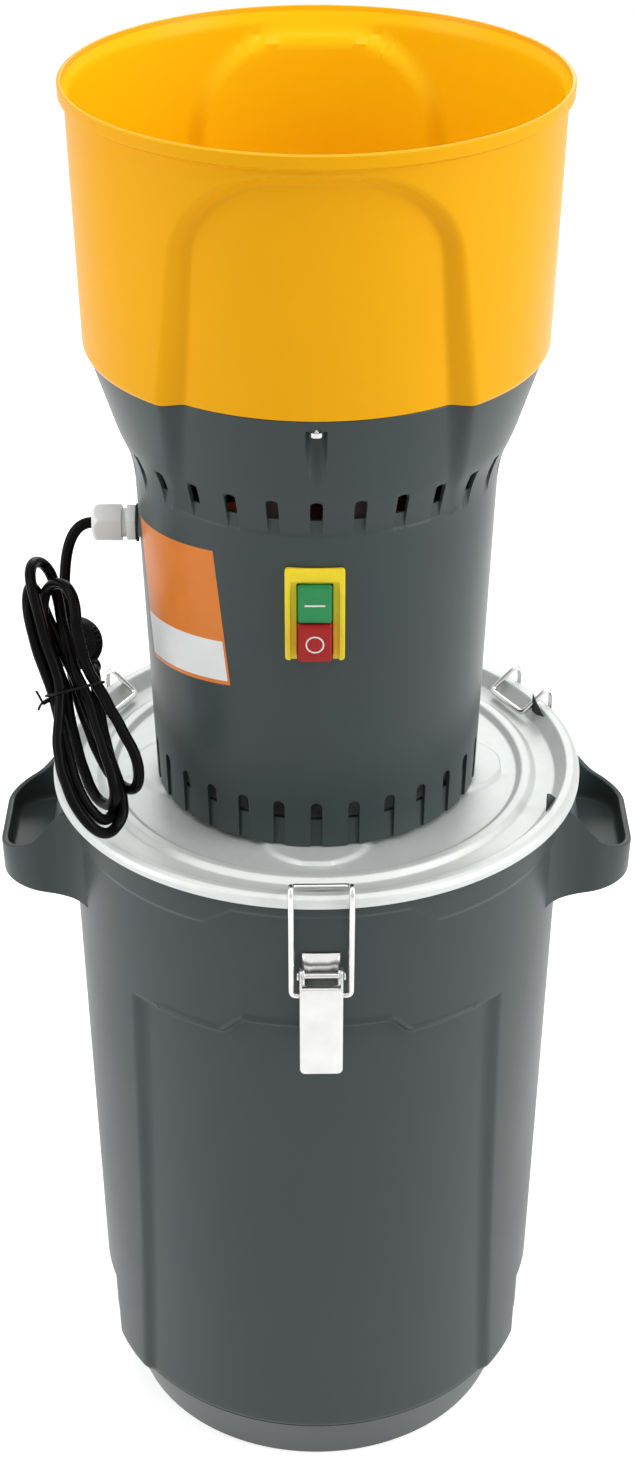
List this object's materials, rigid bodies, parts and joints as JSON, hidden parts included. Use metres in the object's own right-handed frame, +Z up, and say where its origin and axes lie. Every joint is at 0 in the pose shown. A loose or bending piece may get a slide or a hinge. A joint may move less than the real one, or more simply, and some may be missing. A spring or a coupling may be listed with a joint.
{
  "type": "electric grain mill",
  "caption": "Grain mill with a yellow hopper on a slotted motor housing, standing on the clamped steel lid of a dark flour drum with side handles, push-button switch and tied mains cord",
  "frame": {"origin": "centre of the drum's flat base, on the floor", "axes": "+Z up along the drum's axis, -Y to the front with the switch and a latch, -X to the side with the mains cord"},
  "size_m": [0.458, 0.3855, 1.047],
  "materials": {
    "drum_plastic": "moulded, slightly satin",
    "galvanised_sheet": "galvanised, dull",
    "housing_plastic": "moulded, satin",
    "hopper_plastic": "moulded, satin gloss",
    "seal_rubber": "matt",
    "motor_paint": "baked enamel",
    "cast_alloy": "as cast",
    "stator_lacquer": "insulating lacquer",
    "rotor_steel": "turned",
    "ground_steel": "ground",
    "bearing_steel": "ground",
    "beater_steel": "hardened",
    "sieve_steel": "perforated sheet",
    "zinc_steel": "zinc plated",
    "fan_plastic": "moulded",
    "capacitor_orange": "moulded can",
    "plate_yellow": "moulded",
    "switch_black": "moulded",
    "button_green": "moulded",
    "button_red": "moulded",
    "gland_plastic": "moulded",
    "latch_chrome": "nickel plated sheet",
    "bail_chrome": "nickel plated wire",
    "cord_rubber": "satin sheath",
    "tie_plastic": "coated wire",
    "plug_rubber": "moulded on"
  },
  "bodies": {
    "stand": {"drum": "drum_plastic", "lid_gasket": "seal_rubber", "lid": "galvanised_sheet", "motor_housing": "housing_plastic", "motor_can": "motor_paint", "motor_base": "cast_alloy", "stator": "stator_lacquer", "upper_bearing": "bearing_steel", "lower_bearing": "bearing_steel", "capacitor": "capacitor_orange", "capacitor_clip": "zinc_steel", "feed_tube": "hopper_plastic", "sieve": "sieve_steel", "chamber_floor": "sieve_steel", "chamber_bolts": "zinc_steel", "housing_screws": "zinc_steel", "hopper": "hopper_plastic", "gate_screw": "zinc_steel", "hopper_screws": "zinc_steel", "switch_plate": "plate_yellow", "switch_body": "switch_black", "gland_body": "gland_plastic", "gland_seal": "seal_rubber", "gland_nut": "gland_plastic", "gland_sleeve": "seal_rubber", "gland_locknut": "gland_plastic", "latch_bracket_a": "zinc_steel", "latch_bracket_b": "zinc_steel", "latch_bracket_c": "zinc_steel", "latch_pin_a": "zinc_steel", "latch_pin_b": "zinc_steel", "latch_pin_c": "zinc_steel", "cord_lead": "cord_rubber", "cord_hank": "cord_rubber", "cord_tie": "tie_plastic", "cord_plug": "plug_rubber"},
    "rotor": {"rotor_core": "rotor_steel", "motor_shaft": "ground_steel", "cooling_fan": "fan_plastic", "beater_hub": "ground_steel", "beaters": "beater_steel", "hub_nut": "zinc_steel"},
    "gate": {"feed_gate": "galvanised_sheet"},
    "on_switch": {"on_button": "button_green"},
    "off_switch": {"off_button": "button_red"},
    "lever_a": {"latch_lever_a": "latch_chrome"},
    "bail_a": {"latch_bail_a": "bail_chrome"},
    "lever_b": {"latch_lever_b": "latch_chrome"},
    "bail_b": {"latch_bail_b": "bail_chrome"},
    "lever_c": {"latch_lever_c": "latch_chrome"},
    "bail_c": {"latch_bail_c": "bail_chrome"}
  },
  "joints": [
    {"name": "rotor_spin", "type": "hinge", "parent": "stand", "child": "rotor", "pos_m": [0, 0, 0.65], "axis": [0, 0, 1], "continuous": true},
    {"name": "gate_turn", "type": "hinge", "parent": "stand", "child": "gate", "pos_m": [0, 0.062, 0.8133], "axis": [0, 0, 1], "range_deg": [0, 80]},
    {"name": "on_press", "type": "slide", "parent": "stand", "child": "on_switch", "axis": [0, 1, 0], "range_m": [0, 0.003], "stiffness_N_per_m": 400},
    {"name": "off_press", "type": "slide", "parent": "stand", "child": "off_switch", "axis": [0, 1, 0], "range_m": [0, 0.003], "stiffness_N_per_m": 400},
    {"name": "lever_turn_a", "type": "hinge", "parent": "stand", "child": "lever_a", "pos_m": [0.00327, -0.18747, 0.494], "axis": [-0.9998, -0.0175, 0], "range_deg": [0, 90]},
    {"name": "bail_turn_a", "type": "hinge", "parent": "lever_a", "child": "bail_a", "pos_m": [0.00329, -0.18847, 0.4785], "axis": [-0.9998, -0.0175, 0], "range_deg": [-77.4, 0]},
    {"name": "lever_turn_b", "type": "hinge", "parent": "stand", "child": "lever_b", "pos_m": [0.16072, 0.09657, 0.494], "axis": [0.515, -0.8572, 0], "range_deg": [0, 90]},
    {"name": "bail_turn_b", "type": "hinge", "parent": "lever_b", "child": "bail_b", "pos_m": [0.16158, 0.09708, 0.4785], "axis": [0.515, -0.8572, 0], "range_deg": [-77.4, 0]},
    {"name": "lever_turn_c", "type": "hinge", "parent": "stand", "child": "lever_c", "pos_m": [-0.16399, 0.0909, 0.494], "axis": [0.4848, 0.8746, 0], "range_deg": [0, 90]},
    {"name": "bail_turn_c", "type": "hinge", "parent": "lever_c", "child": "bail_c", "pos_m": [-0.16487, 0.09139, 0.4785], "axis": [0.4848, 0.8746, 0], "range_deg": [-77.4, 0]}
  ],
  "couplings": [
    {"joint": "bail_turn_a", "follows": "lever_turn_a", "ratio": -0.86},
    {"joint": "bail_turn_b", "follows": "lever_turn_b", "ratio": -0.86},
    {"joint": "bail_turn_c", "follows": "lever_turn_c", "ratio": -0.86}
  ]
}
